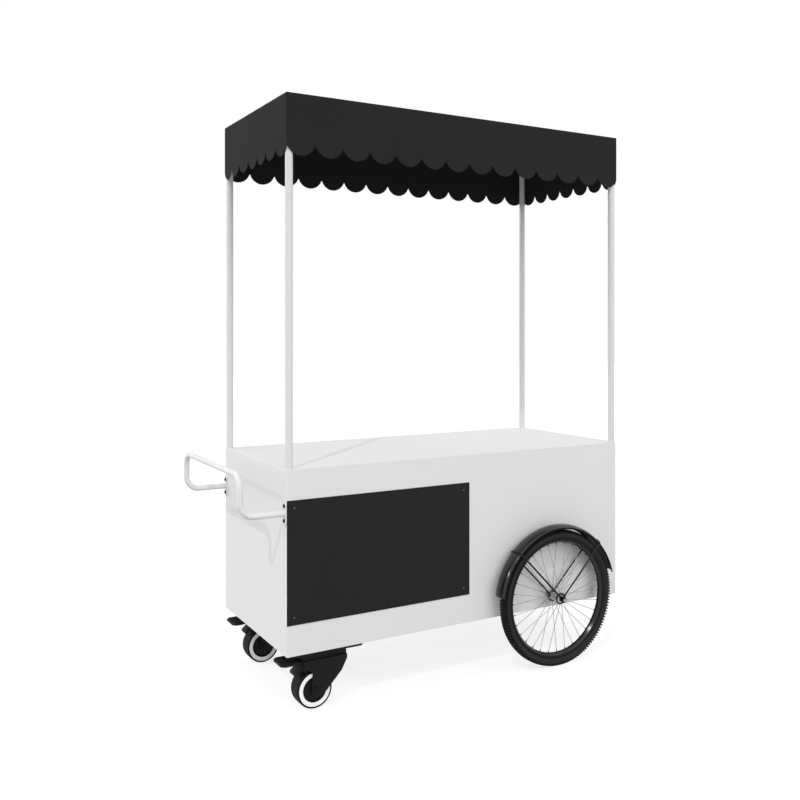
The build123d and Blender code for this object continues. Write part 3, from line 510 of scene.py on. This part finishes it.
# Hubs: turned from alloy, with a bright barrel between two blackened flanges that hold the spokes. Each runs
# on the axle with its wheel.
hub_steel, shade = new_material("hub_steel")
barrel_radius, hub_steps = 0.0151, 48
stain = shade.noise(shade.place(), 38.0, 5.0)
bright = shade.mix(stain, grey(160), grey(190))
shade.surface({
    "Base Color": shade.mix(from_axle(shade) > barrel_radius, bright, grey(30)),
    "Metallic": 1.0,
    "Roughness": 0.27 + stain * 0.14,
})
bm = bmesh.new()
ring_of(bm, [
    (0.00603, 0.0305), (0.0093, 0.0305), (0.0100, 0.0298), (0.0104, 0.0250), (0.0122, 0.0231),
    (0.0213, 0.0229), (0.0219, 0.0222), (0.0219, 0.0208), (0.0213, 0.0201), (0.0165, 0.0198),
    (0.0150, 0.0180), (0.0141, 0.0090)], hub_steps)
both_sides(bm, wheel_middle, "turned_hub", hub_steel, "bright_steel", "wheel", "wheel_hub")


# Spokes: 32 drawn steel wires to a wheel, straight out to the rim from alternate hub flanges. Each has a
# bent elbow with a head in its flange and a dark nipple at the rim.
def bar(bm, start, end, radius, sides):
    """A round bar between two points."""
    axis = end - start
    turn = axis.to_track_quat("Z", "Y").to_matrix().to_4x4()
    bmesh.ops.create_cone(
        bm, cap_ends=True, segments=sides, radius1=radius, radius2=radius, depth=axis.length,
        matrix=Matrix.Translation((start + end) / 2) @ turn)


spoke_count, spoke_sides = 32, 8
wire_radius, wire_lift, head_radius, head_height = 0.0010, 0.0006, 0.0019, 0.0009
nipple_radius, nipple_length = 0.0018, 0.0075
flange_middle, flange_half = 0.0215, 0.0015
hub_circle, rim_reach = 0.019, 0.2029
spoke_steel, shade = new_material("spoke_steel")
stain = shade.noise(shade.place(), 38.0, 5.0)
nipple = from_axle(shade) > rim_reach - nipple_length
shade.surface({
    "Base Color": shade.mix(nipple, shade.mix(stain, grey(138), grey(156)), grey(40)),
    "Metallic": 1.0,
    "Roughness": 0.36 + stain * 0.14,
})
bm = bmesh.new()
for number in range(spoke_count):
    side = Vector((0, -1 if number % 2 else 1, 0))
    angle = 2 * pi * number / spoke_count
    out = Vector((cos(angle), 0, sin(angle)))
    elbow = out * hub_circle + side * (flange_middle + flange_half + wire_lift + wire_radius)
    head = out * hub_circle + side * (flange_middle - flange_half)
    tip = out * rim_reach
    bar(bm, elbow, tip, wire_radius, spoke_sides)
    bar(bm, elbow, head, wire_radius, spoke_sides)
    bar(bm, head, head - side * head_height, head_radius, spoke_sides)
    bar(bm, tip, tip + (elbow - tip).normalized() * nipple_length, nipple_radius, spoke_sides)
both_sides(bm, wheel_middle, "laced_spokes", spoke_steel, "bright_steel", "wheel", "wheel_spokes")


# Mudguards: arches rolled from sheet metal, with a crowned back, rounded shoulders and beaded edges. Black,
# with gloss lacquer on the crown and shoulders, and matt on the walls. Each hangs under its two stays.
def carry(bm, profile, centre=(0, 0, 0), angle=0.0, move=(0, 0, 0), steps=1):
    """Carry a profile on, along a straight run or round a bend, and give its far end."""
    return bmesh.ops.spin(
        bm, geom=profile, cent=centre, axis=(0, 0, 1), dvec=move, angle=angle, steps=steps)["geom_last"]


bend_steps, crown_steps = 8, 16


def arch_over(bm, profile, foot, half, top, crown, bend):
    """Carry a profile up one side of an arch, round its shoulders and crown, and down the other side."""
    crown_centre = top - crown
    bend_y = half - bend
    bend_x = crown_centre + sqrt((crown - bend) ** 2 - bend_y**2)
    lean = atan2(bend_y, bend_x - crown_centre)
    profile = carry(bm, profile, move=(bend_x - foot, 0, 0))
    profile = carry(bm, profile, (bend_x, -bend_y, 0), pi / 2 - lean, steps=bend_steps)
    profile = carry(bm, profile, (crown_centre, 0, 0), 2 * lean, steps=crown_steps)
    profile = carry(bm, profile, (bend_x, bend_y, 0), pi / 2 - lean, steps=bend_steps)
    return carry(bm, profile, move=(foot - bend_x, 0, 0))


guard_black, shade = new_material("guard_black")
wall_end = 0.2622
cloud = shade.noise(shade.place(), 11.0, 4.0)
peel = shade.noise(shade.place(), 260.0)
shade.surface({
    "Base Color": shade.mix(cloud, grey(8), grey(16)),
    "Roughness": 0.5 + cloud * 0.1,
    "Normal": shade.bump(peel, 0.0003, 0.03),
    "Specular IOR Level": 0.08,
    "Coat Weight": (from_axle(shade) > wall_end) * (0.85 + cloud * 0.1),
    "Coat Roughness": 0.16,
})
guard_start, guard_end = radians(15), radians(171.5)
guard_top, guard_foot, guard_half = 0.2710, 0.2560, 0.0285
crown_radius, shoulder_radius, bead_radius, guard_sheet = 0.0496, 0.0070, 0.0016, 0.0010
bead_steps, guard_steps = 6, 96
bead_reach, bead_y = guard_foot + bead_radius, guard_half - bead_radius
bm = bmesh.new()
profile = [bm.verts.new((bead_reach, bead_radius - bead_y, 0))]
profile = carry(bm, profile, (bead_reach, -bead_y, 0), pi, steps=bead_steps)
profile = arch_over(bm, profile, bead_reach, guard_half, guard_top, crown_radius, shoulder_radius)
carry(bm, profile, (bead_reach, bead_y, 0), pi, steps=bead_steps)
bmesh.ops.rotate(bm, verts=bm.verts, cent=(0, 0, 0), matrix=Matrix.Rotation(-guard_start, 3, "Y"))
bmesh.ops.spin(
    bm, geom=bm.verts[:] + bm.edges[:], cent=(0, 0, 0), axis=(0, 1, 0), angle=guard_start - guard_end,
    steps=guard_steps)
bmesh.ops.recalc_face_normals(bm, faces=bm.faces)
bmesh.ops.solidify(bm, geom=bm.faces[:], thickness=guard_sheet)
both_sides(bm, wheel_middle, "rolled_mudguard", guard_black, "guard_black", "cart", "mudguard")

# Mudguard stays: two flattened black steel rods to a wheel, each bent in a U over the mudguard's crown,
# with a flat eye at each end that is clamped on the axle by its nut.
rod_width, rod_thickness, rod_bend, rod_sides, seat_gap = 0.0070, 0.0036, 0.0060, 12, 0.0003
eye_radius, eye_bore, eye_sheet, eye_sides = 0.0100, 0.0062, 0.0030, 32
tongue_length, tongue_width = 0.014, 0.008
first_leg, stay_angles = 0.0323, (45, 135)
leg_start = eye_radius + rod_width / 2
lift = seat_gap + rod_thickness / 2
bm = bmesh.new()
for position, angle in enumerate(stay_angles):
    leg_y = first_leg + position * eye_sheet
    stay = bmesh.new()
    bmesh.ops.create_circle(
        stay, segments=rod_sides, radius=0.5,
        matrix=Matrix.Translation((leg_start, -leg_y, 0)) @ Matrix.Rotation(radians(90), 4, "Y")
        @ Matrix.Diagonal((rod_width, rod_thickness, 1, 1)))
    start = stay.edges[:]
    end = arch_over(
        stay, stay.verts[:] + start, leg_start, leg_y, guard_top + lift, crown_radius + lift, rod_bend)
    bmesh.ops.contextual_create(stay, geom=start)
    bmesh.ops.contextual_create(stay, geom=[item for item in end if isinstance(item, bmesh.types.BMEdge)])
    for y in (-leg_y, leg_y):
        upright = Matrix.Translation((0, y - eye_sheet / 2, 0)) @ Matrix.Rotation(radians(-90), 4, "X")
        for radius in (eye_radius, eye_bore):
            bmesh.ops.create_circle(stay, segments=eye_sides, radius=radius, matrix=upright)
        flat = bmesh.ops.bridge_loops(stay, edges=[edge for edge in stay.edges if edge.is_wire])["faces"]
        raised = bmesh.ops.extrude_face_region(stay, geom=flat)["geom"]
        far_side = [item for item in raised if isinstance(item, bmesh.types.BMVert)]
        bmesh.ops.translate(stay, verts=far_side, vec=(0, eye_sheet, 0))
        tongue = Matrix.Diagonal((tongue_length, eye_sheet, tongue_width, 1))
        bmesh.ops.create_cube(stay, size=1, matrix=Matrix.Translation((leg_start, y, 0)) @ tongue)
    bmesh.ops.rotate(stay, verts=stay.verts, cent=(0, 0, 0), matrix=Matrix.Rotation(-radians(angle), 3, "Y"))
    bent = bpy.data.meshes.new("bent_stay")
    stay.to_mesh(bent)
    stay.free()
    bm.from_mesh(bent)
    bpy.data.meshes.remove(bent)
stay_black, shade = new_material("stay_black")
cloud = shade.noise(shade.place(), 11.0, 4.0)
shade.surface({
    "Base Color": shade.mix(cloud, grey(4), grey(12)),
    "Roughness": 0.14 + cloud * 0.06,
    "Specular IOR Level": 0.2,
})
both_sides(bm, wheel_middle, "bent_stays", stay_black, "guard_black", "cart", "mudguard_stays")

# Casters: black plates bolted under the base frame, each with a swivel race and a king pin, a cast
# fork, and a wheel with a rubber tread on a pale rim and a black hub.
caster_black = satin_black("caster_steel", 18, 0.46, 500.0, 0.0003)
dress(caster_black, "caster_plates", "caster_races", "front_pedal_pin", "rear_pedal_pin",
      "front_caster_axle", "rear_caster_axle")
dress(zinc_steel, "caster_kingpins", "caster_plate_bolts")


flat_angle, sharp_angle = radians(1), radians(28)


def softened(node, radius):
    """A CAD piece with its faces made whole and its sharp edges rounded, as a casting's are."""
    bm = bmesh.new()
    bm.from_mesh(nodes[node].data)
    bmesh.ops.remove_doubles(bm, verts=bm.verts, dist=weld_distance)
    bmesh.ops.dissolve_limit(bm, angle_limit=flat_angle, verts=bm.verts, edges=bm.edges)
    sharp = [edge for edge in bm.edges if len(edge.link_faces) == 2 and edge.calc_face_angle() > sharp_angle]
    bmesh.ops.bevel(
        bm, geom=sharp, offset=radius, segments=2, profile=0.5, affect="EDGES", material=-1,
        clamp_overlap=True)
    return bm


fork_edge = 0.0012
for side in ("front", "rear"):
    add_piece(f"{side}_cast_fork", softened(f"{side}_caster_fork", fork_edge), caster_black, "caster_steel",
              f"{side}_caster", f"{side}_caster_fork")

caster_middle = (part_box("front_caster_tread")[0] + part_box("front_caster_tread")[1]) / 2
caster_steps = 96
tread_rubber = satin_black("caster_tread", 18, 0.7, 420.0, 0.0004)
bm = bmesh.new()
ring_of(bm, [
    (0.0560, 0.0288), (0.0596, 0.0290), (0.0609, 0.0283), (0.0618, 0.0266), (0.0623, 0.0220),
    (0.0625, 0.0110)], caster_steps)
both_sides(bm, caster_middle, "moulded_tread", tread_rubber, "caster_tread", "caster_wheel", "caster_tread")

rim_white = powder_coat("caster_white", 247, 0.34)
bm = bmesh.new()
ring_of(bm, [
    (0.0417, 0.0274), (0.0421, 0.0280), (0.0494, 0.0280), (0.0496, 0.0273), (0.0504, 0.0273),
    (0.0506, 0.0280), (0.0555, 0.0280), (0.0559, 0.0274)], caster_steps)
both_sides(bm, caster_middle, "pale_rim", rim_white, "caster_white", "caster_wheel", "caster_rim")

moulded_black = satin_black("caster_black", 15, 0.55, 650.0, 0.0004)
bm = bmesh.new()
ring_of(bm, [
    (0.00503, 0.0300), (0.0110, 0.0300), (0.0122, 0.0292), (0.0140, 0.0262), (0.0370, 0.0256),
    (0.0388, 0.0276), (0.0394, 0.0290), (0.0408, 0.0290), (0.0416, 0.0281)], caster_steps)
both_sides(bm, caster_middle, "dished_hub", moulded_black, "caster_black", "caster_wheel", "caster_hub")

# Brake pedals: moulded black rockers on a pin in the fork, with a ribbed pad and a release tab. The pad
# is grained with small raised squares for grip.
pad_length, grip_pitch, pedal_edge = 0.042, 0.0045, 0.0008
pedal_black, shade = new_material("pedal_black")
place = shade.place()
pad_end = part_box("front_brake_pedal")[0].x + pad_length
squares = [shade.maths("SINE", place.along(axis) * (2 * pi / grip_pitch)) > 0 for axis in "XY"]
grip = squares[0] * squares[1] * (place.along("X") < pad_end)
worn = shade.noise(place, 30.0, 4.0)
shade.surface({
    "Base Color": shade.mix(worn * 0.5 + grip * 0.5, grey(12), grey(38)),
    "Roughness": 0.5 + worn * 0.2,
    "Normal": shade.bump(grip + worn * 0.2, 0.0006, 0.5),
    "Specular IOR Level": 0.15,
})
for side in ("front", "rear"):
    add_piece(f"{side}_moulded_pedal", softened(f"{side}_brake_pedal", pedal_edge), pedal_black,
              "caster_black", f"{side}_pedal", f"{side}_brake_pedal")


# Floor: a wide pale sheet under the stall. It looks white from the camera and keeps a faint shadow where the
# stall shades it from the lamps.
def white_where_seen(shade, unseen, seen):
    """A glow of one strength for light that falls on the stall, and another for what is seen of it."""
    path = shade.node("LightPath", {}, {}).socket.node
    kinds = ("Camera", "Glossy", "Transmission")
    rays = [Shade(shade.tree, path.outputs[f"Is {kind} Ray"]) for kind in kinds]
    visible = shade.maths("MAXIMUM", shade.maths("MAXIMUM", rays[0], rays[1]), rays[2])
    return unseen + visible * (seen - unseen)


floor_size, floor_level, floor_bounce, floor_glow = 20, 149, 0.18, 0.76
bm = bmesh.new()
bmesh.ops.create_grid(bm, x_segments=1, y_segments=1, size=floor_size)
mesh = bpy.data.meshes.new("studio_floor")
bm.to_mesh(mesh)
bm.free()
floor = bpy.data.objects.new("studio_floor", mesh)
bpy.context.scene.collection.objects.link(floor)
floor_white, shade = new_material("floor_white")
lit = shade.node("BsdfDiffuse", {}, {"Color": grey(floor_level)})
glow = shade.node(
    "Emission", {}, {"Color": (1, 1, 1, 1), "Strength": white_where_seen(shade, floor_bounce, floor_glow)})
both = shade.node("AddShader", {}, {0: lit, 1: glow})
shade.node("OutputMaterial", {}, {"Surface": both})
mesh.materials.append(floor_white)

# Light: a weak white surround, wide soft lamps on the front and both ends, and two small lamps from the
# left, one high and one low, whose faint shadows fall on the body and the counter.
surround, wide, narrow = 0.54, radians(45), radians(1)
world = bpy.data.worlds.new("studio")
bpy.context.scene.world = world
world.use_nodes = True
world.node_tree.nodes.clear()
shade = Shade(world.node_tree)
sky = shade.node(
    "Background", {}, {"Color": (1, 1, 1, 1), "Strength": white_where_seen(shade, surround, 1.0)})
shade.node("OutputWorld", {}, {"Surface": sky})
lamps = {
    "front_lamp": (1.00, wide, (-0.107, 0.759, -0.643)),
    "front_low_lamp": (0.50, wide, (0.170, 0.963, -0.208)),
    "left_lamp": (1.32, wide, (0.694, -0.583, -0.423)),
    "right_lamp": (0.24, wide, (-0.754, 0.133, -0.643)),
    "high_lamp": (0.70, narrow, (0.514, 0.452, -0.729)),
    "low_lamp": (0.28, narrow, (0.87, 0.0, -0.49)),
}
for name, (strength, softness, direction) in lamps.items():
    lamp_data = bpy.data.lights.new(name, "SUN")
    lamp_data.energy = strength
    lamp_data.angle = softness
    lamp = bpy.data.objects.new(name, lamp_data)
    lamp.rotation_euler = Vector(direction).to_track_quat("-Z", "Y").to_euler()
    bpy.context.scene.collection.objects.link(lamp)

# Camera: level, at the left of the stall's front, as the photograph was taken. Its place, turn, lens and
# shift were solved from the body's edges.
camera_data = bpy.data.cameras.new("camera")
camera_data.sensor_width = 36
camera_data.lens = 40.03
camera_data.shift_y = -0.0903
camera = bpy.data.objects.new("camera", camera_data)
camera.location = (-1.71205, -2.94083, 1.25256)
camera.rotation_euler = (radians(90), 0, radians(-29.711))
bpy.context.scene.collection.objects.link(camera)
bpy.context.scene.camera = camera
bpy.context.scene.view_settings.view_transform = "Standard"

bpy.context.view_layer.update()
